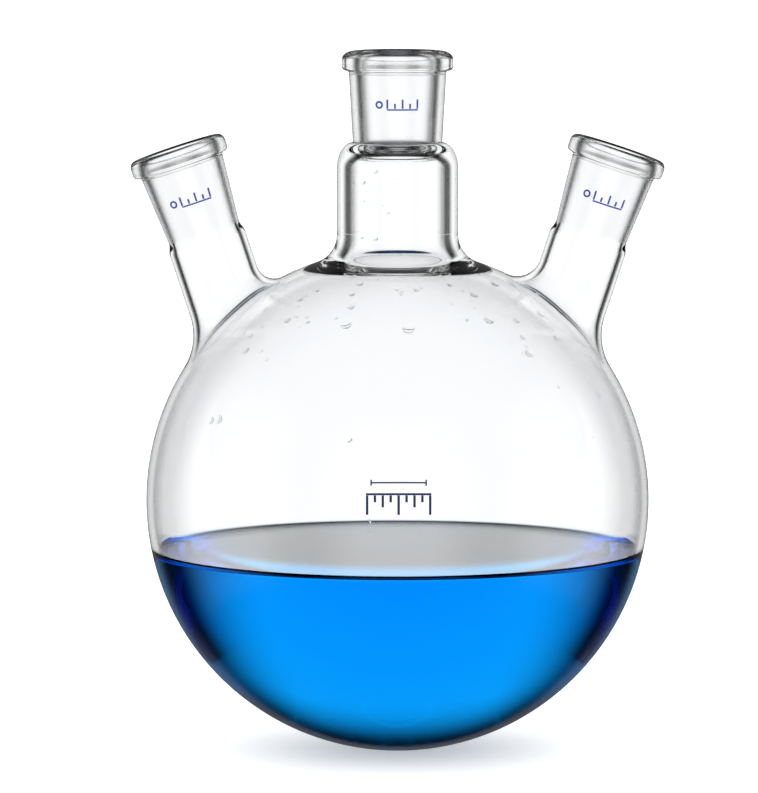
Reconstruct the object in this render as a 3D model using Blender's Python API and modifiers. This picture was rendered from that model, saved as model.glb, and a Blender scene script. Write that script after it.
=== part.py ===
"""Three-neck round bottom flask of 2000 ml, partly filled.

A blown bulb carries one upright neck and two necks that lean outwards. Each neck ends in a ground
24/29 taper socket with a rim bead. The pieces are split where a glassblower welds them.

Metres, +Z up along the centre neck. The origin is under the bulb, at its lowest point.
"""

import math

import bmesh
import bpy

# Bulb
BULB_RADIUS = 0.083
BULB_WALL = 0.0023
BULB_SEGMENTS = 48
BULB_RINGS = 20
LIQUID_DROP = 0.0173  # the liquid's surface below the bulb's centre

# Ground sockets, all with the same 24/29 bore
BORE_MOUTH_RADIUS = 0.012
BORE_LENGTH = 0.029
BORE_TAPER = 0.05  # radius lost per length, a 1:10 taper on the diameter
SMALL_EDGE = 0.0005  # width of the small bevels at the mouth and under the bead

# Centre neck, heavy wall. Heights are above the bulb's centre.
CENTRE_RADIUS = 0.0200
CENTRE_WALL = 0.0048
CENTRE_FILLET = 0.0100
CENTRE_INNER_FILLET = 0.0110
CENTRE_COLLAR_TOP = 0.0885
CENTRE_SHOULDER_BASE = 0.1096
CENTRE_SHOULDER_TOP = 0.1182
CENTRE_RIM_TOP = 0.1483
CENTRE_SOCKET = {
    "rim_radius": 0.0183,
    "rim_height": 0.0064,
    "rim_flat": 0.0142,
    "top_radius": 0.0160,
    "bottom_radius": 0.0147,
}

# Side necks. Each axis leans by SIDE_TILT and passes the bulb's centre at SIDE_MISS.
# Heights run along the neck's axis from its point nearest the bulb's centre.
SIDE_TILT = math.radians(18.3)
SIDE_MISS = 0.0327
SIDE_RADIUS = 0.0131
SIDE_WALL = 0.0022
SIDE_FILLET_INNER = 0.0075  # towards the centre neck
SIDE_FILLET_OUTER = 0.0200  # away from it
SIDE_COLLAR_TOP = 0.0905
SIDE_WELD_TOP = 0.1042
SIDE_RIM_TOP = 0.1335
SIDE_SWELL = 0.0002  # how far the tube swells under the weld
SIDE_SOCKET = {
    "rim_radius": 0.0163,
    "rim_height": 0.0059,
    "rim_flat": 0.0142,
    "top_radius": 0.01395,
    "bottom_radius": 0.01215,
}
SIDES = {"left": math.pi, "right": 0.0}  # turn of each side neck about the upright axis

NECK_SEGMENTS = 40
FILLET_STEPS = 5
BEAD_STEPS = 3
GAP = 0.0003  # between pieces that touch
OVERLAP = 0.0005  # how far a union or a cut reaches past the surface it meets
MERGE = 0.00001


def remove_everything():
    for item in list(bpy.data.objects):
        bpy.data.objects.remove(item, do_unlink=True)


def make_collection(name):
    collection = bpy.data.collections.new(name)
    bpy.context.scene.collection.children.link(collection)
    return collection


def make_material(name, colour, roughness, transmission, ior):
    material = bpy.data.materials.new(name)
    material.use_nodes = True
    shader = material.node_tree.nodes["Principled BSDF"]
    shader.inputs["Base Color"].default_value = colour
    shader.inputs["Roughness"].default_value = roughness
    shader.inputs["Metallic"].default_value = 0.0
    shader.inputs["Transmission Weight"].default_value = transmission
    shader.inputs["IOR"].default_value = ior
    material.diffuse_color = colour
    return material


def arc(centre, radius, start, end, steps):
    """Points (radius, height) on a circle, with angles from the outward direction."""
    points = []
    for i in range(steps + 1):
        angle = start + (end - start) * i / steps
        points.append((centre[0] + radius * math.cos(angle), centre[1] + radius * math.sin(angle)))
    return points


def quarter_ellipse(wide, narrow, base, top):
    """Points from a narrow top down to a wide base."""
    points = []
    for i in range(FILLET_STEPS + 1):
        angle = math.pi / 2 * (1 - i / FILLET_STEPS)
        radius = narrow + (wide - narrow) * math.cos(angle)
        points.append((radius, base + (top - base) * math.sin(angle)))
    return points


def add_axis(name, turn, tilt, miss, collection):
    """An empty on a neck's axis, at the point nearest the bulb's centre."""
    axis = bpy.data.objects.new(name, None)
    axis.empty_display_size = BULB_RADIUS / 4
    axis.rotation_euler = (0.0, tilt, turn)
    axis.location = (
        miss * math.cos(tilt) * math.cos(turn),
        0.0,
        BULB_RADIUS - miss * math.sin(tilt),
    )
    collection.objects.link(axis)
    return axis


def add_turned(name, profile, is_ring, segments, axis, material, collection):
    """A solid of revolution about an axis, from points (radius, height) down its outer side."""
    mesh = bpy.data.meshes.new(name)
    edges = [(i, i + 1) for i in range(len(profile) - 1)]
    if is_ring:
        edges.append((len(profile) - 1, 0))
    mesh.from_pydata([(radius, 0.0, height) for radius, height in profile], edges, [])
    mesh.materials.append(material)
    piece = bpy.data.objects.new(name, mesh)
    piece.parent = axis
    collection.objects.link(piece)
    screw = piece.modifiers.new("turn", "SCREW")
    screw.axis = "Z"
    screw.angle = 2 * math.pi
    screw.steps = segments
    screw.render_steps = segments
    screw.use_smooth_shade = True
    screw.use_merge_vertices = True
    screw.merge_threshold = MERGE
    return piece


def sphere_and_collar(sphere, neck, fillet):
    """Half section of a sphere with a filleted upright collar, from the collar's top down."""
    height = math.sqrt((sphere + fillet) ** 2 - (neck + fillet) ** 2)
    meeting = math.atan2(height, neck + fillet)
    points = [(neck, CENTRE_COLLAR_TOP)]
    points += arc((neck + fillet, height), fillet, math.pi, math.pi + meeting, FILLET_STEPS)
    points += arc((0.0, 0.0), sphere, meeting, -math.pi / 2, BULB_RINGS)[1:-1]
    points.append((0.0, -sphere))
    return points


def bulb_profile():
    """Up the inside of the bulb, over the centre collar's top and down the outside."""
    inner = sphere_and_collar(
        BULB_RADIUS - BULB_WALL, CENTRE_RADIUS - CENTRE_WALL, CENTRE_INNER_FILLET
    )
    outer = sphere_and_collar(BULB_RADIUS, CENTRE_RADIUS, CENTRE_FILLET)
    return inner[::-1] + outer


def side_fillet(turn):
    """Fillet radius round a side collar: tight towards the centre neck, wide away from it."""
    away = (1 + math.cos(turn)) / 2
    return SIDE_FILLET_INNER + (SIDE_FILLET_OUTER - SIDE_FILLET_INNER) * away


def collar_section(turn, neck, sphere, extra_fillet, top, depth):
    """Section of a side collar in the half plane at this turn about the neck's axis.

    The plane cuts the sphere in a circle. The fillet touches that circle and the neck, and the
    last point lies depth inside the sphere.
    """
    fillet = side_fillet(turn) + extra_fillet
    circle_centre = -SIDE_MISS * math.cos(turn)
    circle = math.sqrt(sphere**2 - (SIDE_MISS * math.sin(turn)) ** 2)
    across = neck + fillet - circle_centre
    height = math.sqrt((circle + fillet) ** 2 - across**2)
    meeting = math.atan2(height, across)
    points = [(neck, top)]
    points += arc((neck + fillet, height), fillet, math.pi, math.pi + meeting, FILLET_STEPS)
    inside = circle - depth
    points.append((circle_centre + inside * math.cos(meeting), inside * math.sin(meeting)))
    return points


def add_collar(name, axis, neck, sphere, extra_fillet, top, depth, collection):
    """A solid loft from a round neck to the curve where its fillet meets the sphere."""
    work = bmesh.new()
    columns = []
    for i in range(NECK_SEGMENTS):
        turn = 2 * math.pi * i / NECK_SEGMENTS
        section = collar_section(turn, neck, sphere, extra_fillet, top, depth)
        column = [work.verts.new((r * math.cos(turn), r * math.sin(turn), z)) for r, z in section]
        columns.append(column)
    foot = work.verts.new((0.0, 0.0, math.sqrt((sphere - depth) ** 2 - SIDE_MISS**2)))
    for column, following in zip(columns, columns[1:] + columns[:1]):
        for row in range(len(column) - 1):
            work.faces.new((column[row], column[row + 1], following[row + 1], following[row]))
        work.faces.new((column[-1], foot, following[-1]))
    work.faces.new([column[0] for column in columns])
    bmesh.ops.recalc_face_normals(work, faces=work.faces)
    mesh = bpy.data.meshes.new(name)
    work.to_mesh(mesh)
    work.free()
    mesh.shade_smooth()
    collar = bpy.data.objects.new(name, mesh)
    collar.parent = axis
    collar.hide_render = True
    collar.display_type = "WIRE"
    collection.objects.link(collar)
    return collar


def combine(piece, operation, operand):
    modifier = piece.modifiers.new(operand.name, "BOOLEAN")
    modifier.operation = operation
    modifier.solver = "EXACT"
    modifier.object = operand


def add_bulb(centre_axis, side_axes, material, flask, cutters):
    """The blown bulb: a turned shell with a collar, and a collar with an opening on each side."""
    bulb = add_turned("bulb", bulb_profile(), False, BULB_SEGMENTS, centre_axis, material, flask)
    for side, axis in side_axes.items():
        collar = add_collar(
            f"{side}_collar", axis, SIDE_RADIUS, BULB_RADIUS - OVERLAP, 0.0,
            SIDE_COLLAR_TOP, OVERLAP, cutters,
        )
        combine(bulb, "UNION", collar)
    for side, axis in side_axes.items():
        opening = add_collar(
            f"{side}_opening", axis, SIDE_RADIUS - SIDE_WALL, BULB_RADIUS - BULB_WALL - OVERLAP,
            BULB_WALL, SIDE_COLLAR_TOP + OVERLAP, BULB_WALL, cutters,
        )
        combine(bulb, "DIFFERENCE", opening)
    return bulb


def bore_radius(depth):
    """Radius of a ground bore at this depth under the rim."""
    return BORE_MOUTH_RADIUS - BORE_TAPER * min(depth, BORE_LENGTH)


def socket_profile(spec, top, bottom):
    """Ring section of a ground socket: flat rim, rounded bead, tapered body and tapered bore."""
    rim = spec["rim_radius"]
    bead = top - spec["rim_height"]
    corner = spec["rim_height"] / 2
    return [
        (BORE_MOUTH_RADIUS + SMALL_EDGE, top),
        (spec["rim_flat"], top),
        *arc((rim - corner, top - corner), corner, math.pi / 3, 0.0, BEAD_STEPS),
        (rim, bead + SMALL_EDGE),
        (rim - SMALL_EDGE, bead),
        (spec["top_radius"], bead - SMALL_EDGE),
        (spec["bottom_radius"], bottom),
        (bore_radius(top - bottom), bottom),
        (bore_radius(SMALL_EDGE), top - SMALL_EDGE),
    ]


def centre_neck_profile():
    """Ring section of the centre neck: a straight thick tube under a rounded shoulder."""
    bore = CENTRE_RADIUS - CENTRE_WALL
    foot = CENTRE_COLLAR_TOP + GAP
    outer = quarter_ellipse(
        CENTRE_RADIUS, CENTRE_SOCKET["bottom_radius"], CENTRE_SHOULDER_BASE, CENTRE_SHOULDER_TOP
    )
    inner = quarter_ellipse(
        bore, bore_radius(BORE_LENGTH), CENTRE_SHOULDER_BASE - CENTRE_WALL / 2, CENTRE_SHOULDER_TOP
    )
    return outer + [(CENTRE_RADIUS, foot), (bore, foot)] + inner[::-1]


def side_neck_profile():
    """Ring section of a side neck: a thin tube with a slight swelling under the weld."""
    bore = SIDE_RADIUS - SIDE_WALL
    foot = SIDE_COLLAR_TOP + GAP
    swell_top = SIDE_WELD_TOP - SIDE_WALL / 2
    return [
        (SIDE_SOCKET["bottom_radius"], SIDE_WELD_TOP),
        (SIDE_RADIUS, swell_top),
        (SIDE_RADIUS + SIDE_SWELL, swell_top - SIDE_WALL / 2),
        (SIDE_RADIUS, swell_top - SIDE_WALL),
        (SIDE_RADIUS, foot),
        (bore, foot),
        (bore, swell_top),
        (bore_radius(BORE_LENGTH), SIDE_WELD_TOP),
    ]


def liquid_profile():
    """Half section of the liquid: a flat surface over the bowl of the bulb, clear of the glass."""
    radius = BULB_RADIUS - BULB_WALL - GAP
    edge = -math.asin(LIQUID_DROP / radius)
    bowl = arc((0.0, 0.0), radius, edge, -math.pi / 2, BULB_RINGS // 2)[:-1]
    return [(0.0, -LIQUID_DROP), *bowl, (0.0, -radius)]


def main():
    remove_everything()
    flask = make_collection("three_neck_flask")
    cutters = make_collection("cutters")
    clear = make_material("clear_glass", (0.93, 0.95, 0.96, 1.0), 0.02, 1.0, 1.47)
    ground = make_material("ground_glass", (0.86, 0.87, 0.88, 1.0), 0.35, 0.9, 1.47)
    blue = make_material("blue_liquid", (0.0, 0.29, 0.95, 1.0), 0.03, 0.6, 1.33)

    centre_axis = add_axis("centre_axis", 0.0, 0.0, 0.0, flask)
    side_axes = {
        side: add_axis(f"{side}_axis", turn, SIDE_TILT, SIDE_MISS, flask)
        for side, turn in SIDES.items()
    }
    add_bulb(centre_axis, side_axes, clear, flask, cutters)
    add_turned("liquid", liquid_profile(), False, BULB_SEGMENTS, centre_axis, blue, flask)

    neck = centre_neck_profile()
    add_turned("centre_neck", neck, True, NECK_SEGMENTS, centre_axis, clear, flask)
    socket = socket_profile(CENTRE_SOCKET, CENTRE_RIM_TOP, CENTRE_SHOULDER_TOP + GAP)
    add_turned("centre_socket", socket, True, NECK_SEGMENTS, centre_axis, ground, flask)

    neck = side_neck_profile()
    socket = socket_profile(SIDE_SOCKET, SIDE_RIM_TOP, SIDE_WELD_TOP + GAP)
    for side, axis in side_axes.items():
        add_turned(f"{side}_neck", neck, True, NECK_SEGMENTS, axis, clear, flask)
        add_turned(f"{side}_socket", socket, True, NECK_SEGMENTS, axis, ground, flask)


main()
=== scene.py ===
"""Looks of the three-neck round bottom flask.

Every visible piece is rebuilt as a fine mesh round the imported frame. The glass is one continuous wall,
cut into the frame's pieces at the planes where a glassblower welds them. Metres, +Z up.
"""

import math
import random

import bmesh
import bpy
from mathutils import Euler, Matrix, Vector, geometry


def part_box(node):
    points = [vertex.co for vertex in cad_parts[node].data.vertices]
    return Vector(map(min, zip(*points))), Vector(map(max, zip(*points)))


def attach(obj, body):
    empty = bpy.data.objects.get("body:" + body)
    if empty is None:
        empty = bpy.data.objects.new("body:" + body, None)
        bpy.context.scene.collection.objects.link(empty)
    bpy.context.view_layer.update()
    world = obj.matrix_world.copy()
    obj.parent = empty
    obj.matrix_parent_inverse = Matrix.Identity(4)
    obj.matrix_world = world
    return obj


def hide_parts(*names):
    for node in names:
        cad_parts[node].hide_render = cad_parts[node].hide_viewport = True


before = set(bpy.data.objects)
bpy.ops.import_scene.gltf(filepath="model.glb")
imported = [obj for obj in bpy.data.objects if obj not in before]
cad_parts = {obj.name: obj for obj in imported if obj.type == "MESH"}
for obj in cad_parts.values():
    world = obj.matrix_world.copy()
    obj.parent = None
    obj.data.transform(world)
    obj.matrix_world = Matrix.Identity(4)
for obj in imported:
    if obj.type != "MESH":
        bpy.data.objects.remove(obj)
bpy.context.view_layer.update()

# Sizes that the frame gives
BULB_LOW, BULB_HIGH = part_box("bulb")
BULB_RADIUS = (BULB_HIGH.y - BULB_LOW.y) / 2
BULB_CENTRE = Vector((0.0, 0.0, BULB_LOW.z + BULB_RADIUS))
LIQUID_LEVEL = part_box("liquid")[1].z - BULB_CENTRE.z
RIM_LOW, RIM_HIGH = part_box("centre_socket")

# The glass's sizes. They repeat the CAD's, apart from the centre neck's web and inner corner and the thick
# root below it, which only this model has. Heights are above the bulb's centre.
BULB_WALL = 0.0023
BORE_MOUTH_RADIUS = 0.012
BORE_LENGTH = 0.029
BORE_TAPER = 0.05  # fall of the radius along the bore
MOUTH_EDGE = 0.0010  # radius of the polished edge at the bore's mouth
BEAD_CROWN = 0.42  # share of a bead's height that rounds over to the rim
CENTRE_NECK = {
    "tilt": 0.0,
    "miss": 0.0,
    "radius": 0.0200,
    "wall": 0.0048,
    "fillets": (0.0100, 0.0100),
    "inner_fillet_extra": 0.0010,
    "collar_top": 0.0885,
    "shoulder": "round",
    "web": 0.0035,  # glass over the inside of the tube
    "inner_corner": 0.0050,
    "weld_base": 0.1096,
    "weld_top": 0.1182,
    "rim_top": RIM_HIGH.z - BULB_CENTRE.z,
    "rim_radius": (RIM_HIGH.x - RIM_LOW.x) / 2,
    "rim_height": 0.0064,
    "rim_flat": 0.0142,
    "body_top": 0.0160,
    "body_bottom": 0.0147,
}
SIDE_NECK = {
    "tilt": math.radians(18.3),
    "miss": 0.0327,
    "radius": 0.0131,
    "wall": 0.0022,
    "inner_fillet_extra": BULB_WALL,
    "collar_top": 0.0905,
    "shoulder": "soft",
    "weld_base": 0.1002,
    "weld_top": 0.1042,
    "rim_top": 0.1335,
    "rim_radius": 0.0163,
    "rim_height": 0.0059,
    "rim_flat": 0.0142,
    "body_top": 0.01395,
    "body_bottom": 0.01215,
}
# The bulb's wall is thicker round the centre neck's root. Angles are from the top.
ROOT_EXTRA = 0.0012
ROOT_RISE = (math.radians(9), math.radians(14))
ROOT_FALL = (math.radians(15), math.radians(22))

NECKS = {
    "centre": {**CENTRE_NECK, "turn": 0.0},
    "left": {**SIDE_NECK, "turn": math.pi, "fillets": (0.0060, 0.0200)},
    "right": {**SIDE_NECK, "turn": 0.0, "fillets": (0.0080, 0.0200)},
}

# Where the liquid's surface meets the wall, above its level, and how fast it falls away from the wall
MENISCUS_RISE = 0.0022
MENISCUS_DECAY = 0.0020
LIQUID_IOR = 1.33
GLASS_IOR = 1.47

# Material slots of every glass piece. A joined face is fused to the next piece or wetted by the liquid.
OUTER, JOINED, INNER = 0, 1, 2

COLUMNS = 96  # round a neck
SEGMENTS = 192  # round the bulb
CAP_COLATITUDE = math.radians(70)  # above this ring the bulb is triangulated round its necks
HOLE_MARGIN = 0.6  # of a ring's spacing, kept free of corners round a neck's loop
LIQUID_ROWS = 36  # across the liquid's surface
ROW_CROWDING = 2.2  # power that brings the rows closer together towards the wall
WELD = 1e-6

# Camera, floor and studio
VIEW_AIM = Vector((-0.0061, 0.0, 0.1172))
CAMERA_PLACE = Vector((-0.0061, -2.1, 0.33))
VIEW_HALF_HEIGHT = 0.1309  # of the picture, at the flask
SENSOR = 36.0
FLOOR_RADIUS = 0.4
FLOOR_GLOW = 0.45
# A panel stands on each axis. It fades out sideways between two angles from the axis, and at its foot and
# its top between two heights in degrees.
PANEL_FULL = math.radians(15)
PANEL_END = math.radians(41)
PANEL_FOOT = (-34, -26)
PANEL_TOP = (50, 24)
PANEL_LIGHT = 1.16
FLAG_LIGHT = 0.015
REFLECTED_SHARE = 0.1  # of the studio's light, in the glass's reflections
BACKDROP_LIGHT = 1.4  # as the camera and plain surfaces see it


# Profiles


def arc(centre, radii, start, end, steps):
    """Points (radius, height) on an ellipse, with angles from the outward direction."""
    points = []
    for i in range(steps + 1):
        angle = start + (end - start) * i / steps
        points.append((centre[0] + radii[0] * math.cos(angle), centre[1] + radii[1] * math.sin(angle)))
    return points


def line(start, end, steps):
    points = []
    for i in range(steps + 1):
        share = i / steps
        points.append((start[0] + (end[0] - start[0]) * share, start[1] + (end[1] - start[1]) * share))
    return points


def chain(*stretches):
    """Joins stretches of points, each starting where the one before it ends."""
    points = list(stretches[0])
    for stretch in stretches[1:]:
        points += stretch[1:]
    return points


def fillet_at(neck, turn):
    """Fillet radius at a turn about the neck: tight towards the centre neck, wide away from it."""
    tight, wide = neck["fillets"]
    return tight + (wide - tight) * (1 + math.cos(turn)) / 2


def collar(neck, turn, sphere, radius, extra):
    """Section of a collar from its tangent point on the sphere up to the collar's top."""
    fillet = fillet_at(neck, turn) + extra
    circle_centre = -neck["miss"] * math.cos(turn)
    circle = math.sqrt(sphere**2 - (neck["miss"] * math.sin(turn)) ** 2)
    across = radius + fillet - circle_centre
    height = math.sqrt((circle + fillet) ** 2 - across**2)
    meeting = math.atan2(height, across)
    curve = arc((radius + fillet, height), (fillet, fillet), math.pi + meeting, math.pi, 14)
    return chain(curve, line((radius, height), (radius, neck["collar_top"]), 3))


def bore_radius(depth):
    return BORE_MOUTH_RADIUS - BORE_TAPER * min(depth, BORE_LENGTH)


def soft_taper(wide, narrow, base, top):
    """An even S-shaped taper from the tube in to the socket."""
    points = []
    for share, height in line((0.0, base), (1.0, top), 12):
        ease = (1 - math.cos(math.pi * share)) / 2
        points.append((wide + (narrow - wide) * ease, height))
    return points


def shoulder(neck):
    """Outer wall from the collar's top, up the tube and over the shoulder to the socket."""
    radius = neck["radius"]
    narrow = neck["body_bottom"]
    base = neck["weld_base"]
    top = neck["weld_top"]
    tube = line((radius, neck["collar_top"]), (radius, base), 6)
    if neck["shoulder"] == "round":
        return chain(tube, arc((narrow, base), (radius - narrow, top - base), 0.0, math.pi / 2, 12))
    return chain(tube, soft_taper(radius, narrow, base, top))


def inner_shoulder(neck):
    """Inner wall from under the ground bore down to the collar's top."""
    radius = neck["radius"] - neck["wall"]
    narrow = bore_radius(BORE_LENGTH)
    top = neck["weld_top"]
    if neck["shoulder"] == "round":
        ceiling = top - neck["web"]
        base = ceiling - neck["inner_corner"]
        corner = arc((narrow, base), (radius - narrow, ceiling - base), 0.0, math.pi / 2, 12)
        curve = chain(corner, line((narrow, ceiling), (narrow, top), 3))
    else:
        base = neck["weld_base"]
        curve = soft_taper(radius, narrow, base, top)
    return chain(curve[::-1], line((radius, base), (radius, neck["collar_top"]), 6))


def socket_outside(neck):
    """Up the tapered body, out under the bead, round it and in over the flat rim."""
    rim = neck["rim_radius"]
    top = neck["rim_top"]
    bead = top - neck["rim_height"]
    hollow = 0.0011
    corner = 0.0013
    flat = neck["rim_flat"]
    body = line((neck["body_bottom"], neck["weld_top"]), (neck["body_top"], bead - hollow), 10)
    under = arc((neck["body_top"] + hollow, bead - hollow), (hollow, hollow), math.pi, math.pi / 2, 4)
    ledge = line((neck["body_top"] + hollow, bead), (rim - corner, bead), 2)
    lower = arc((rim - corner, bead + corner), (corner, corner), -math.pi / 2, 0.0, 5)
    drop = neck["rim_height"] * BEAD_CROWN
    side = line((rim, bead + corner), (rim, top - drop), 3)
    upper = arc((flat, top - drop), (rim - flat, drop), 0.0, math.pi / 2, 14)
    return chain(body, under, ledge, lower, side, upper)


def socket_mouth(neck):
    """In over the flat rim and round its polished inner edge to the top of the ground bore."""
    top = neck["rim_top"]
    middle = BORE_MOUTH_RADIUS + MOUTH_EDGE
    rim = line((neck["rim_flat"], top), (middle, top), 2)
    lip = arc((middle, top - MOUTH_EDGE), (MOUTH_EDGE, MOUTH_EDGE), math.pi / 2, math.pi, 6)
    return chain(rim, lip)


def socket_bore(neck):
    top = neck["rim_top"]
    start = (BORE_MOUTH_RADIUS, top - MOUTH_EDGE)
    return line(start, (bore_radius(BORE_LENGTH), neck["weld_top"]), 24)


# Meshes


def neck_matrix(neck):
    """From a neck's own frame, at its axis's point nearest the bulb's centre, to the world."""
    place = BULB_CENTRE + Vector((
        neck["miss"] * math.cos(neck["tilt"]) * math.cos(neck["turn"]),
        0.0,
        -neck["miss"] * math.sin(neck["tilt"]),
    ))
    return Matrix.Translation(place) @ Euler((0.0, neck["tilt"], neck["turn"])).to_matrix().to_4x4()


def add_grid(work, matrix, section_at, material):
    """Adds the surface that a section sweeps as it turns about the neck. Returns its first and last rows."""
    columns = []
    for i in range(COLUMNS):
        turn = 2 * math.pi * i / COLUMNS
        cos, sin = math.cos(turn), math.sin(turn)
        columns.append([work.verts.new(matrix @ Vector((r * cos, r * sin, z))) for r, z in section_at(turn)])
    for column, following in zip(columns, columns[1:] + columns[:1]):
        for row in range(len(column) - 1):
            face = work.faces.new((column[row], following[row], following[row + 1], column[row + 1]))
            face.material_index = material
    return [column[0] for column in columns], [column[-1] for column in columns]


def add_cap(work, outer, inner, faces_up, material):
    """Closes a cut plane with a ring from the outer wall to the inner one."""
    for i in range(COLUMNS):
        following = (i + 1) % COLUMNS
        ring = [outer[i], outer[following], inner[following], inner[i]]
        if not faces_up:
            ring.reverse()
        work.faces.new(ring).material_index = material


def finish_piece(name, work, materials, body="root"):
    bmesh.ops.remove_doubles(work, verts=work.verts, dist=WELD)
    mesh = bpy.data.meshes.new(name)
    work.to_mesh(mesh)
    work.free()
    for material in materials:
        mesh.materials.append(material)
    mesh.shade_smooth()
    mesh.set_sharp_from_angle(angle=math.radians(50))
    piece = bpy.data.objects.new(name, mesh)
    bpy.context.scene.collection.objects.link(piece)
    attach(piece, body)
    return piece


def hole_radius(neck, turn, sphere, radius, extra):
    return collar(neck, turn, sphere, radius, extra)[0][0]


def hole_tests(sphere, inside):
    """For each neck, its inverse matrix and the radius of its hole in the sphere by turn."""
    tests = []
    for neck in NECKS.values():
        radius = neck["radius"] - neck["wall"] * inside
        extra = neck["inner_fillet_extra"] * inside
        table = [hole_radius(neck, 2 * math.pi * i / COLUMNS, sphere, radius, extra) for i in range(COLUMNS)]
        tests.append((neck_matrix(neck).inverted(), table))
    return tests


def is_in_hole(point, tests, margin):
    for inverse, table in tests:
        local = inverse @ point
        if local.z > 0:
            turn = math.atan2(local.y, local.x) % (2 * math.pi) / (2 * math.pi) * COLUMNS
            low = int(turn) % COLUMNS
            share = turn - int(turn)
            edge = table[low] * (1 - share) + table[(low + 1) % COLUMNS] * share
            if math.hypot(local.x, local.y) < edge + margin:
                return True
    return False


def on_sphere(sphere, colatitude, longitude):
    return BULB_CENTRE + sphere * Vector((
        math.sin(colatitude) * math.cos(longitude),
        math.sin(colatitude) * math.sin(longitude),
        math.cos(colatitude),
    ))


def flatten(point):
    """Stereographic map of a point on the sphere, seen from its lowest point."""
    direction = (point - BULB_CENTRE).normalized()
    return Vector((direction.x, direction.y)) / (1 + direction.z)


def contact_colatitude():
    """Angle from the top of the line where the liquid's surface meets the inner wall."""
    return math.acos((LIQUID_LEVEL + MENISCUS_RISE) / (BULB_RADIUS - BULB_WALL))


def colatitudes(start, end):
    """Evenly spaced ring angles, about as far apart as the segments, without the start."""
    count = round(abs(end - start) / (2 * math.pi / SEGMENTS))
    return [start + (end - start) * k / count for k in range(1, count + 1)]


def add_bowl(work, sphere, top):
    """Rings of quads from the sphere's lowest point up to a colatitude. Returns the rings and faces."""
    step = 2 * math.pi / SEGMENTS
    angles = colatitudes(math.pi, contact_colatitude())
    if top < contact_colatitude():
        angles += colatitudes(contact_colatitude(), top)
    pole = work.verts.new(BULB_CENTRE - Vector((0.0, 0.0, sphere)))
    rings = []
    for angle in angles:
        rings.append([work.verts.new(on_sphere(sphere, angle, i * step)) for i in range(SEGMENTS)])
    faces = []
    for i in range(SEGMENTS):
        following = (i + 1) % SEGMENTS
        faces.append((pole, rings[0][following], rings[0][i]))
        for low, high in zip(rings, rings[1:]):
            faces.append((low[i], low[following], high[following], high[i]))
    return rings, faces


def add_sphere(work, sphere, loops, inside):
    """The bulb's wall: rings of quads below, and triangles round the neck loops above."""
    step = 2 * math.pi / SEGMENTS
    rings, faces = add_bowl(work, sphere, CAP_COLATITUDE)
    tests = hole_tests(sphere, inside)
    corners = list(rings[-1])
    edges = [(i, (i + 1) % SEGMENTS) for i in range(SEGMENTS)]
    for loop in loops:
        first = len(corners)
        corners += loop
        edges += [(first + i, first + (i + 1) % len(loop)) for i in range(len(loop))]
    row_count = round(CAP_COLATITUDE / step)
    for k in range(1, row_count):
        colatitude = CAP_COLATITUDE * (1 - k / row_count)
        count = max(6, round(2 * math.pi * math.sin(colatitude) / step))
        for i in range(count):
            point = on_sphere(sphere, colatitude, 2 * math.pi * (i + k % 2 / 2) / count)
            if not is_in_hole(point, tests, sphere * step * HOLE_MARGIN):
                corners.append(work.verts.new(point))
    flat = [flatten(corner.co) for corner in corners]
    made = geometry.delaunay_2d_cdt(flat, edges, [], 0, 1e-9)
    made_corners = [corners[sources[0]] for sources in made[3]]
    for face in made[2]:
        middle = sum((made_corners[i].co for i in face), Vector()) / 3
        if not is_in_hole(middle, tests, 0.0):
            faces.append(tuple(made_corners[i] for i in face))
    wet_height = BULB_CENTRE.z + LIQUID_LEVEL + MENISCUS_RISE
    for face_corners in faces:
        face = work.faces.new(reversed(face_corners) if inside else face_corners)
        if inside:
            face.material_index = JOINED if face.calc_center_median().z < wet_height else INNER


def smooth_share(value, limits):
    """0 under the lower limit, 1 over the upper one and a smooth rise between them."""
    share = min(max((value - limits[0]) / (limits[1] - limits[0]), 0.0), 1.0)
    return share * share * (3 - 2 * share)


def thicken_root(work):
    """Moves the inner wall in towards the bulb's centre round the root of the centre neck."""
    inner = {corner: None for face in work.faces if face.material_index == INNER for corner in face.verts}
    for corner in inner:
        offset = corner.co - BULB_CENTRE
        angle = math.atan2(math.hypot(offset.x, offset.y), offset.z)
        extra = ROOT_EXTRA * smooth_share(angle, ROOT_RISE) * (1 - smooth_share(angle, ROOT_FALL))
        corner.co -= offset.normalized() * extra


def make_bulb(materials):
    work = bmesh.new()
    loops = {0: [], 1: []}
    for neck in NECKS.values():
        matrix = neck_matrix(neck)
        tops = {}
        for inside in (0, 1):
            sphere = BULB_RADIUS - BULB_WALL * inside
            radius = neck["radius"] - neck["wall"] * inside
            extra = neck["inner_fillet_extra"] * inside

            def section(turn):
                points = collar(neck, turn, sphere, radius, extra)
                return points[::-1] if inside else points

            first, last = add_grid(work, matrix, section, INNER if inside else OUTER)
            loops[inside].append(last if inside else first)
            tops[inside] = first if inside else last
        add_cap(work, tops[0], tops[1], True, JOINED)
    add_sphere(work, BULB_RADIUS, loops[0], 0)
    add_sphere(work, BULB_RADIUS - BULB_WALL, loops[1], 1)
    bmesh.ops.remove_doubles(work, verts=work.verts, dist=WELD)
    thicken_root(work)
    piece = finish_piece("bulb_glass", work, materials)
    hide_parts("bulb")


def make_neck(name, neck, materials):
    work = bmesh.new()
    matrix = neck_matrix(neck)
    outside = add_grid(work, matrix, lambda turn: shoulder(neck), OUTER)
    inside = add_grid(work, matrix, lambda turn: inner_shoulder(neck), INNER)
    add_cap(work, outside[1], inside[0], True, JOINED)
    add_cap(work, outside[0], inside[1], False, JOINED)
    piece = finish_piece(f"{name}_neck_glass", work, materials)
    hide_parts(f"{name}_neck")


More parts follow.
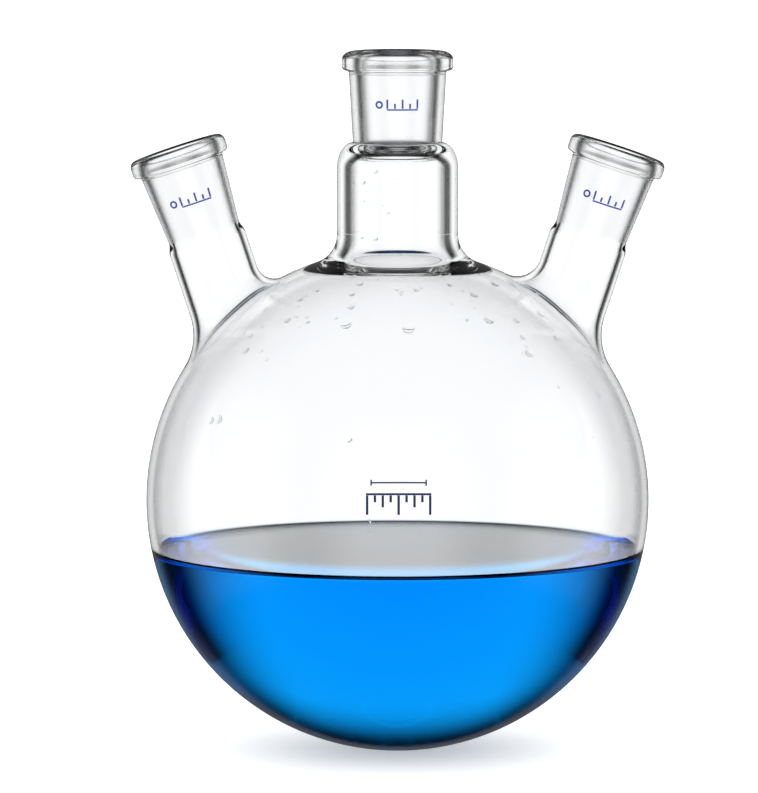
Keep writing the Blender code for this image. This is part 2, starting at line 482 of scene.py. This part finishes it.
def make_socket(name, neck, materials):
    work = bmesh.new()
    matrix = neck_matrix(neck)
    outside = add_grid(work, matrix, lambda turn: socket_outside(neck), OUTER)
    add_grid(work, matrix, lambda turn: socket_mouth(neck), INNER)
    inside = add_grid(work, matrix, lambda turn: socket_bore(neck), INNER)
    add_cap(work, outside[0], inside[1], False, JOINED)
    piece = finish_piece(f"{name}_socket_glass", work, materials)
    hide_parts(f"{name}_socket")


def make_liquid(material):
    """The charge. It wets the wall, so its outside is the one surface between glass and liquid."""
    seal = 0.00002  # reaches into the glass, whose wetted faces show nothing
    sphere = BULB_RADIUS - BULB_WALL + seal
    work = bmesh.new()
    wetted = work.faces.layers.float.new("wetted")
    rings, faces = add_bowl(work, sphere, contact_colatitude())
    for corners in faces:
        work.faces.new(corners)[wetted] = 1.0
    edge = rings[-1]
    edge_radius = math.hypot(edge[0].co.x, edge[0].co.y)
    outer = edge
    for k in range(1, LIQUID_ROWS):
        distance = edge_radius * (k / LIQUID_ROWS) ** ROW_CROWDING
        height = LIQUID_LEVEL + MENISCUS_RISE * math.exp(-distance / MENISCUS_DECAY)
        row = []
        for i in range(SEGMENTS):
            turn = 2 * math.pi * i / SEGMENTS
            reach = edge_radius - distance
            place = Vector((reach * math.cos(turn), reach * math.sin(turn), height))
            row.append(work.verts.new(BULB_CENTRE + place))
        for i in range(SEGMENTS):
            following = (i + 1) % SEGMENTS
            work.faces.new((outer[i], outer[following], row[following], row[i]))
        outer = row
    middle = work.verts.new(BULB_CENTRE + Vector((0.0, 0.0, LIQUID_LEVEL)))
    for i in range(SEGMENTS):
        work.faces.new((outer[i], outer[(i + 1) % SEGMENTS], middle))
    piece = finish_piece("liquid_blue", work, [material])
    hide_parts("liquid")


# Drops of condensed water on the bulb's front wall. Each is (place across, height, width) in millimetres as
# the camera sees it against the bulb's middle plane, with heights above the bulb's centre.
WALL_DROPS = [
    (3.6, 56.6, 5.0), (-16.9, 57.8, 4.6), (30.0, 59.2, 4.4), (43.2, 48.2, 4.0), (-15.2, 63.4, 3.2),
    (-14.9, 67.4, 2.8), (-12.3, 70.6, 2.8), (-31.7, 65.6, 3.0), (-36.0, 59.0, 3.6), (-47.9, 53.6, 2.4),
    (-49.6, 49.0, 3.4), (6.2, 68.8, 2.6), (17.1, 70.4, 2.8), (25.0, 67.2, 3.6), (37.2, 69.8, 3.2),
    (31.6, 70.4, 4.0), (46.5, 60.4, 3.6), (38.9, 58.8, 3.2), (40.9, 53.4, 2.8), (51.7, 52.8, 2.8),
    (-61.0, 26.0, 3.2), (-58.6, 26.4, 3.8), (-15.9, 19.8, 2.4), (-9.6, -7.6, 2.0), (-9.6, -11.6, 1.6),
    (-43.0, 62.0, 2.0), (-26.0, 68.4, 2.0), (45.0, 67.0, 2.2), (43.5, 64.4, 1.8), (52.8, 37.0, 1.8),
]
# Specks between them, at random within these ranges, in millimetres
SPECK_SEED = 11
SPECK_COUNT = 34
SPECK_ACROSS = (-55, 66)
SPECK_REACH = (62, 74)  # from the bulb's centre, as the camera sees it
SPECK_WIDTH = (0.8, 1.7)
SPECK_LOWEST = 20.0
# Drops on the front of the centre neck's inner wall: (place across, height, width) in millimetres
NECK_DROPS = [
    (-10.4, 106.3, 2.4), (-13.0, 105.7, 1.3), (-6.8, 109.9, 2.0), (-1.2, 107.6, 1.4), (-10.1, 100.0, 1.2),
    (-3.1, 96.4, 1.6), (-10.7, 87.8, 1.4), (-6.8, 87.8, 2.2), (-4.4, 98.6, 0.9), (-9.4, 103.2, 0.9),
]
NECK_DROP_HEADING = math.radians(-60)
DROP_SEAT = 0.4  # share of a drop's bead that lies in the wall
DROP_SWEEP = math.radians(165)
DROP_TIP = 0.05  # thickness of a bead's tips, as a share of its middle's
WALL_BEAD = 0.27  # thickness of a bead's middle, as a share of the drop's width
NECK_BEAD = 0.26


def seen_on_sphere(across, height, sphere):
    """Where the camera's sight of a place in the middle plane meets a sphere, from the bulb's centre."""
    start = CAMERA_PLACE - BULB_CENTRE
    sight = (Vector((across, 0.0, height)) - start).normalized()
    nearest = start - sight * start.dot(sight)
    return nearest - sight * math.sqrt(sphere**2 - nearest.length_squared)


def surface_frame(place, sphere, inwards):
    """A function for points round a place on a sphere, and the sphere's directions across and up there."""
    out = place.normalized()
    side = Vector((0.0, 0.0, 1.0)).cross(out).normalized()
    up = out.cross(side)

    def point(u, v, lift):
        direction = (out * sphere + side * u + up * v).normalized()
        return BULB_CENTRE + direction * (sphere - lift if inwards else sphere + lift)

    return point, side, up


def add_drop(work, point, radius, bead, heading):
    """The full edge of a hanging drop: a bead of water along an arc, tapering to both ends."""
    steps = 18
    around = 10
    rows = []
    for i in range(steps + 1):
        share = i / steps
        turn = heading + DROP_SWEEP * (share - 0.5)
        thick = bead / 2 * (DROP_TIP + (1 - DROP_TIP) * math.sin(math.pi * share))
        row = []
        for j in range(around):
            angle = 2 * math.pi * j / around
            reach = radius - bead / 2 + thick * math.cos(angle)
            lift = thick * (math.sin(angle) + 1 - 2 * DROP_SEAT)
            row.append(work.verts.new(point(reach * math.cos(turn), reach * math.sin(turn), lift)))
        rows.append(row)
    for low, high in zip(rows, rows[1:]):
        for j in range(around):
            following = (j + 1) % around
            work.faces.new((low[j], low[following], high[following], high[j]))
    work.faces.new(rows[0][::-1])
    work.faces.new(rows[-1])


def add_wall_drop(work, across, height, width):
    """A drop on the bulb's inner wall. Its full edge points to the bulb's middle, as the camera sees it."""
    sphere = BULB_RADIUS - BULB_WALL
    place = seen_on_sphere(across / 1000, height / 1000, sphere)
    point, side, up = surface_frame(place, sphere, True)
    towards_middle = Vector((-across, 0.0, -height))
    heading = math.atan2(towards_middle.dot(up), towards_middle.dot(side))
    add_drop(work, point, width / 2000, width / 1000 * WALL_BEAD, heading)


def add_neck_drop(work, neck, across, height, width):
    """A drop on the front of the centre neck's inner wall."""
    radius = neck["radius"] - neck["wall"]
    front = -math.acos(across / 1000 / radius)

    def point(u, v, lift):
        angle = front + u / radius
        reach = radius - lift
        return BULB_CENTRE + Vector((reach * math.cos(angle), reach * math.sin(angle), height / 1000 + v))

    add_drop(work, point, width / 2000, width / 1000 * NECK_BEAD, NECK_DROP_HEADING)


def make_drops(material):
    work = bmesh.new()
    for across, height, width in WALL_DROPS:
        add_wall_drop(work, across, height, width)
    chance = random.Random(SPECK_SEED)
    for _ in range(SPECK_COUNT):
        across = chance.uniform(*SPECK_ACROSS)
        reach = chance.uniform(*SPECK_REACH)
        width = chance.uniform(*SPECK_WIDTH)
        height = math.sqrt(max(reach**2 - across**2, SPECK_LOWEST**2))
        add_wall_drop(work, across, height, width)
    for across, height, width in NECK_DROPS:
        add_neck_drop(work, NECKS["centre"], across, height, width)
    finish_mark("water_drops", work, material)


# Enamel marks: plain strokes, with no lettering

INK_LIFT = 0.00010
INK_SEAT = -0.00004


def add_stroke(work, frame_at, path, width):
    """A flat stroke of enamel along a path of points (u, v) on a surface."""
    rows = []
    for i, (u, v) in enumerate(path):
        before = path[max(i - 1, 0)]
        after = path[min(i + 1, len(path) - 1)]
        if path[0] == path[-1] and i in (0, len(path) - 1):
            before, after = path[-2], path[1]
        along = Vector((after[0] - before[0], after[1] - before[1])).normalized()
        across = Vector((-along.y, along.x)) * width / 2
        rows.append([
            work.verts.new(frame_at(u + across.x, v + across.y, INK_SEAT)),
            work.verts.new(frame_at(u + across.x, v + across.y, INK_LIFT)),
            work.verts.new(frame_at(u - across.x, v - across.y, INK_LIFT)),
            work.verts.new(frame_at(u - across.x, v - across.y, INK_SEAT)),
        ])
    for row, following in zip(rows, rows[1:]):
        for i in range(4):
            work.faces.new((row[i], row[(i + 1) % 4], following[(i + 1) % 4], following[i]))
    if path[0] != path[-1]:
        work.faces.new(rows[0])
        work.faces.new(rows[-1])


def bar(u, low, high):
    return line((u, low), (u, high), 4)


def ring(u, v, radius):
    points = arc((u, v), (radius, radius), 0.0, 2 * math.pi, 24)
    return points[:-1] + points[:1]


def finish_mark(name, work, material):
    bmesh.ops.remove_doubles(work, verts=work.verts, dist=WELD)
    bmesh.ops.recalc_face_normals(work, faces=work.faces)
    finish_piece(name, work, [material])


def make_socket_mark(name, neck, front, material):
    """A small ring and a five-stroke scale on the front of a socket."""
    matrix = neck_matrix(neck)
    height = neck["rim_top"] - 0.0170
    tall = neck["rim_top"] - neck["rim_height"] - neck["weld_top"]
    slope = (neck["body_top"] - neck["body_bottom"]) / tall
    middle = neck["body_bottom"] + slope * (height - neck["weld_top"])

    def point(u, v, lift):
        radius = middle + slope * v + lift
        angle = front + u / middle
        return matrix @ Vector((radius * math.cos(angle), radius * math.sin(angle), height + v))

    work = bmesh.new()
    add_stroke(work, point, ring(-0.0062, 0.0, 0.0010), 0.0006)
    add_stroke(work, point, line((-0.0036, -0.0016), (0.0068, -0.0016), 12), 0.0005)
    for i in range(5):
        top = 0.0018 if i % 2 == 0 else 0.0004
        add_stroke(work, point, bar(-0.0034 + 0.0025 * i, -0.0012, top), 0.0006)
    finish_mark(f"{name}_socket_mark", work, material)


def make_bulb_mark(material):
    """A line over a row of long and short bars on the front of the bulb."""
    over = surface_frame(seen_on_sphere(0.0004, 0.0056, BULB_RADIUS), BULB_RADIUS, False)[0]
    under = surface_frame(seen_on_sphere(0.0004, -0.0016, BULB_RADIUS), BULB_RADIUS, False)[0]
    work = bmesh.new()
    half = 0.0088
    add_stroke(work, over, line((-half, 0.0), (half, 0.0), 16), 0.0005)
    for end in (-half, half):
        add_stroke(work, over, bar(end, -0.0010, 0.0010), 0.0005)
    add_stroke(work, under, line((-0.0105, 0.0032), (0.0105, 0.0032), 16), 0.0007)
    count = 9
    for i in range(count):
        u = -0.0101 + 0.0202 * i / (count - 1)
        low = -0.0034 if i % 4 == 0 else -0.0010 if i % 2 == 0 else 0.0006
        add_stroke(work, under, bar(u, low, 0.0028), 0.0008)
    finish_mark("bulb_mark", work, material)


# Materials


def new_material(name):
    material = bpy.data.materials.new(name)
    material.use_nodes = True
    nodes = material.node_tree.nodes
    return material, nodes, material.node_tree.links, nodes["Principled BSDF"]


def add_waviness(nodes, links, shader, scale, distance):
    """The slow unevenness of blown glass."""
    place = nodes.new("ShaderNodeTexCoord")
    noise = nodes.new("ShaderNodeTexNoise")
    noise.inputs["Scale"].default_value = scale
    noise.inputs["Detail"].default_value = 2.0
    bump = nodes.new("ShaderNodeBump")
    bump.inputs["Strength"].default_value = 1.0
    bump.inputs["Distance"].default_value = distance
    links.new(place.outputs["Object"], noise.inputs["Vector"])
    links.new(noise.outputs["Fac"], bump.inputs["Height"])
    links.new(bump.outputs["Normal"], shader.inputs["Normal"])


def add_painted_edge_shade(nodes, links, shader, clear, edge, start, end):
    """Painted edge shade: the base colour turns from the clear colour to the edge colour where the wall is
    seen along itself.
    """
    weight = nodes.new("ShaderNodeLayerWeight")
    share = nodes.new("ShaderNodeMapRange")
    share.interpolation_type = "SMOOTHSTEP"
    share.inputs["From Min"].default_value = start
    share.inputs["From Max"].default_value = end
    tone = nodes.new("ShaderNodeMix")
    tone.data_type = "RGBA"
    tone.inputs["A"].default_value = clear
    tone.inputs["B"].default_value = edge
    links.new(weight.outputs["Facing"], share.inputs["Value"])
    links.new(share.outputs["Result"], tone.inputs["Factor"])
    links.new(tone.outputs["Result"], shader.inputs["Base Color"])


def clear_glass(name, edge, start):
    material, nodes, links, shader = new_material(name)
    shader.inputs["Roughness"].default_value = 0.0
    shader.inputs["Transmission Weight"].default_value = 1.0
    shader.inputs["IOR"].default_value = GLASS_IOR
    # Painted edge shade: the base colour darkens towards the given edge colour as the wall turns edge-on.
    add_painted_edge_shade(nodes, links, shader, (0.985, 0.992, 0.995, 1.0), edge, start, 0.95)
    add_waviness(nodes, links, shader, 30.0, 0.00002)
    return material


def ground_glass():
    """The bore, ground to a fine even grain."""
    material, nodes, links, shader = new_material("ground_bore")
    shader.inputs["Transmission Weight"].default_value = 1.0
    shader.inputs["IOR"].default_value = GLASS_IOR
    # Painted edge shade: the bore's colour darkens to near black where it is seen along itself.
    add_painted_edge_shade(nodes, links, shader, (0.95, 0.955, 0.96, 1.0), (0.06, 0.08, 0.11, 1.0), 0.45, 0.92)
    place = nodes.new("ShaderNodeTexCoord")
    grain = nodes.new("ShaderNodeTexNoise")
    grain.inputs["Scale"].default_value = 400.0
    grain.inputs["Detail"].default_value = 3.0
    rough = nodes.new("ShaderNodeMapRange")
    rough.inputs["To Min"].default_value = 0.16
    rough.inputs["To Max"].default_value = 0.24
    links.new(place.outputs["Object"], grain.inputs["Vector"])
    links.new(grain.outputs["Fac"], rough.inputs["Value"])
    links.new(rough.outputs["Result"], shader.inputs["Roughness"])
    return material


def enamel(name, colour, dark):
    """Fired-on ceramic ink, slightly uneven."""
    material, nodes, links, shader = new_material(name)
    place = nodes.new("ShaderNodeTexCoord")
    noise = nodes.new("ShaderNodeTexNoise")
    noise.inputs["Scale"].default_value = 1500.0
    tone = nodes.new("ShaderNodeMix")
    tone.data_type = "RGBA"
    tone.inputs["A"].default_value = dark
    tone.inputs["B"].default_value = colour
    rough = nodes.new("ShaderNodeMapRange")
    rough.inputs["To Min"].default_value = 0.3
    rough.inputs["To Max"].default_value = 0.55
    links.new(place.outputs["Object"], noise.inputs["Vector"])
    links.new(noise.outputs["Fac"], tone.inputs["Factor"])
    links.new(noise.outputs["Fac"], rough.inputs["Value"])
    links.new(tone.outputs["Result"], shader.inputs["Base Color"])
    links.new(rough.outputs["Result"], shader.inputs["Roughness"])
    return material


def drop_water():
    material, nodes, links, shader = new_material("drop_water")
    shader.inputs["Base Color"].default_value = (1.0, 1.0, 1.0, 1.0)
    shader.inputs["Roughness"].default_value = 0.0
    shader.inputs["Transmission Weight"].default_value = 1.0
    shader.inputs["IOR"].default_value = LIQUID_IOR
    add_waviness(nodes, links, shader, 400.0, 0.00003)
    return material


def weld_plane():
    """The planes where two pieces are fused: nothing shows there."""
    material = bpy.data.materials.new("weld_plane")
    material.use_nodes = True
    nodes = material.node_tree.nodes
    nodes.remove(nodes["Principled BSDF"])
    clear = nodes.new("ShaderNodeBsdfTransparent")
    material.node_tree.links.new(clear.outputs["BSDF"], nodes["Material Output"].inputs["Surface"])
    return material


def blue_liquid():
    material, nodes, links, shader = new_material("blue_liquid")
    shader.inputs["Base Color"].default_value = (1.0, 1.0, 1.0, 1.0)
    shader.inputs["Roughness"].default_value = 0.0
    shader.inputs["Transmission Weight"].default_value = 1.0
    wetted = nodes.new("ShaderNodeAttribute")
    wetted.attribute_name = "wetted"
    bend = nodes.new("ShaderNodeMapRange")
    bend.inputs["To Min"].default_value = LIQUID_IOR
    bend.inputs["To Max"].default_value = LIQUID_IOR / GLASS_IOR
    links.new(wetted.outputs["Fac"], bend.inputs["Value"])
    links.new(bend.outputs["Result"], shader.inputs["IOR"])
    absorption = nodes.new("ShaderNodeVolumeAbsorption")
    absorption.inputs["Color"].default_value = (0.0, 0.82, 0.994, 1.0)
    absorption.inputs["Density"].default_value = 50.0
    links.new(absorption.outputs["Volume"], nodes["Material Output"].inputs["Volume"])
    return material


# Studio


def math_node(tree, operation, *values):
    node = tree.nodes.new("ShaderNodeMath")
    node.operation = operation
    for socket, value in zip(node.inputs, values):
        if isinstance(value, (int, float)):
            socket.default_value = value
        else:
            tree.links.new(value, socket)
    return node.outputs[0]


def ramp(tree, value, low, high):
    """0 at low and past it, 1 at high and past it, smooth between. Low may be the greater of the two."""
    node = tree.nodes.new("ShaderNodeMapRange")
    node.interpolation_type = "SMOOTHSTEP"
    tree.links.new(value, node.inputs["Value"])
    node.inputs["From Min"].default_value = low
    node.inputs["From Max"].default_value = high
    return node.outputs["Result"]


def mix(tree, share, low, high):
    """low where share is 0, high where it is 1."""
    difference = math_node(tree, "SUBTRACT", high, low)
    return math_node(tree, "ADD", math_node(tree, "MULTIPLY", difference, share), low)


def sine(degrees):
    return math.sin(math.radians(degrees))


def add_studio():
    """Bright panels on four sides with dark flags between and above, so that clear glass shows its edges."""
    world = bpy.data.worlds.new("studio")
    bpy.context.scene.world = world
    world.use_nodes = True
    tree = world.node_tree
    background = tree.nodes["Background"]
    background.inputs["Color"].default_value = (1.0, 1.0, 1.0, 1.0)
    direction = tree.nodes.new("ShaderNodeTexCoord").outputs["Generated"]
    parts = tree.nodes.new("ShaderNodeSeparateXYZ")
    tree.links.new(direction, parts.inputs[0])
    x = math_node(tree, "ABSOLUTE", parts.outputs["X"])
    y = math_node(tree, "ABSOLUTE", parts.outputs["Y"])
    z = parts.outputs["Z"]
    off_axis = math_node(tree, "ARCTAN2", math_node(tree, "MINIMUM", x, y), math_node(tree, "MAXIMUM", x, y))
    panel = ramp(tree, off_axis, PANEL_END, PANEL_FULL)
    panel = math_node(tree, "MULTIPLY", panel, ramp(tree, z, sine(PANEL_FOOT[0]), sine(PANEL_FOOT[1])))
    panel = math_node(tree, "MULTIPLY", panel, ramp(tree, z, sine(PANEL_TOP[0]), sine(PANEL_TOP[1])))
    shade = mix(tree, panel, FLAG_LIGHT, PANEL_LIGHT)
    path = tree.nodes.new("ShaderNodeLightPath")
    reflected = mix(tree, path.outputs["Is Reflection Ray"], 1.0, REFLECTED_SHARE)
    shade = math_node(tree, "MULTIPLY", shade, reflected)
    plain = math_node(tree, "MAXIMUM", path.outputs["Is Camera Ray"], path.outputs["Is Diffuse Ray"])
    shade = mix(tree, plain, shade, BACKDROP_LIGHT)
    tree.links.new(shade, background.inputs["Strength"])
    world.cycles.sampling_method = "NONE"


def add_floor():
    work = bmesh.new()
    bmesh.ops.create_circle(work, cap_ends=True, radius=FLOOR_RADIUS, segments=128)
    mesh = bpy.data.meshes.new("floor")
    work.to_mesh(mesh)
    work.free()
    floor = bpy.data.objects.new("floor", mesh)
    bpy.context.scene.collection.objects.link(floor)
    material, nodes, links, shader = new_material("floor_white")
    shader.inputs["Base Color"].default_value = (0.9, 0.9, 0.9, 1.0)
    shader.inputs["Roughness"].default_value = 1.0
    shader.inputs["Specular IOR Level"].default_value = 0.0
    shader.inputs["Emission Color"].default_value = (1.0, 1.0, 1.0, 1.0)
    shader.inputs["Emission Strength"].default_value = FLOOR_GLOW
    mesh.materials.append(material)
    floor.visible_glossy = False
    floor.visible_transmission = False


def add_camera():
    camera = bpy.data.objects.new("camera", bpy.data.cameras.new("camera"))
    bpy.context.scene.collection.objects.link(camera)
    camera.location = CAMERA_PLACE
    sight = VIEW_AIM - CAMERA_PLACE
    camera.rotation_mode = "QUATERNION"
    camera.rotation_quaternion = sight.to_track_quat("-Z", "Y")
    camera.data.sensor_width = SENSOR
    camera.data.lens = SENSOR / 2 * sight.length / VIEW_HALF_HEIGHT
    camera.data.clip_start = 0.01
    camera.data.clip_end = 30.0
    bpy.context.scene.camera = camera


def set_rendering():
    scene = bpy.context.scene
    scene.view_settings.view_transform = "Standard"
    scene.cycles.max_bounces = 32
    scene.cycles.transmission_bounces = 32
    scene.cycles.glossy_bounces = 8
    scene.cycles.transparent_max_bounces = 32


def main():
    joined = weld_plane()
    # The edge colours are painted edge shade: light grey on the outer wall, dark grey on the inner wall.
    outer = clear_glass("clear_glass", (0.80, 0.82, 0.84, 1.0), 0.75)
    inner = clear_glass("clear_glass_inner", (0.30, 0.32, 0.35, 1.0), 0.70)
    ground = ground_glass()
    make_bulb([outer, joined, inner])
    for name, neck in NECKS.items():
        make_neck(name, neck, [outer, joined, inner])
        make_socket(name, neck, [outer, joined, ground])
    make_liquid(blue_liquid())
    make_drops(drop_water())
    blue = enamel("enamel_blue", (0.03, 0.07, 0.42, 1.0), (0.02, 0.04, 0.28, 1.0))
    navy = enamel("enamel_navy", (0.012, 0.028, 0.12, 1.0), (0.006, 0.014, 0.07, 1.0))
    for name, neck in NECKS.items():
        make_socket_mark(name, neck, math.pi / 2 if name == "left" else -math.pi / 2, blue)
    make_bulb_mark(navy)
    add_camera()
    add_floor()
    add_studio()
    set_rendering()


main()
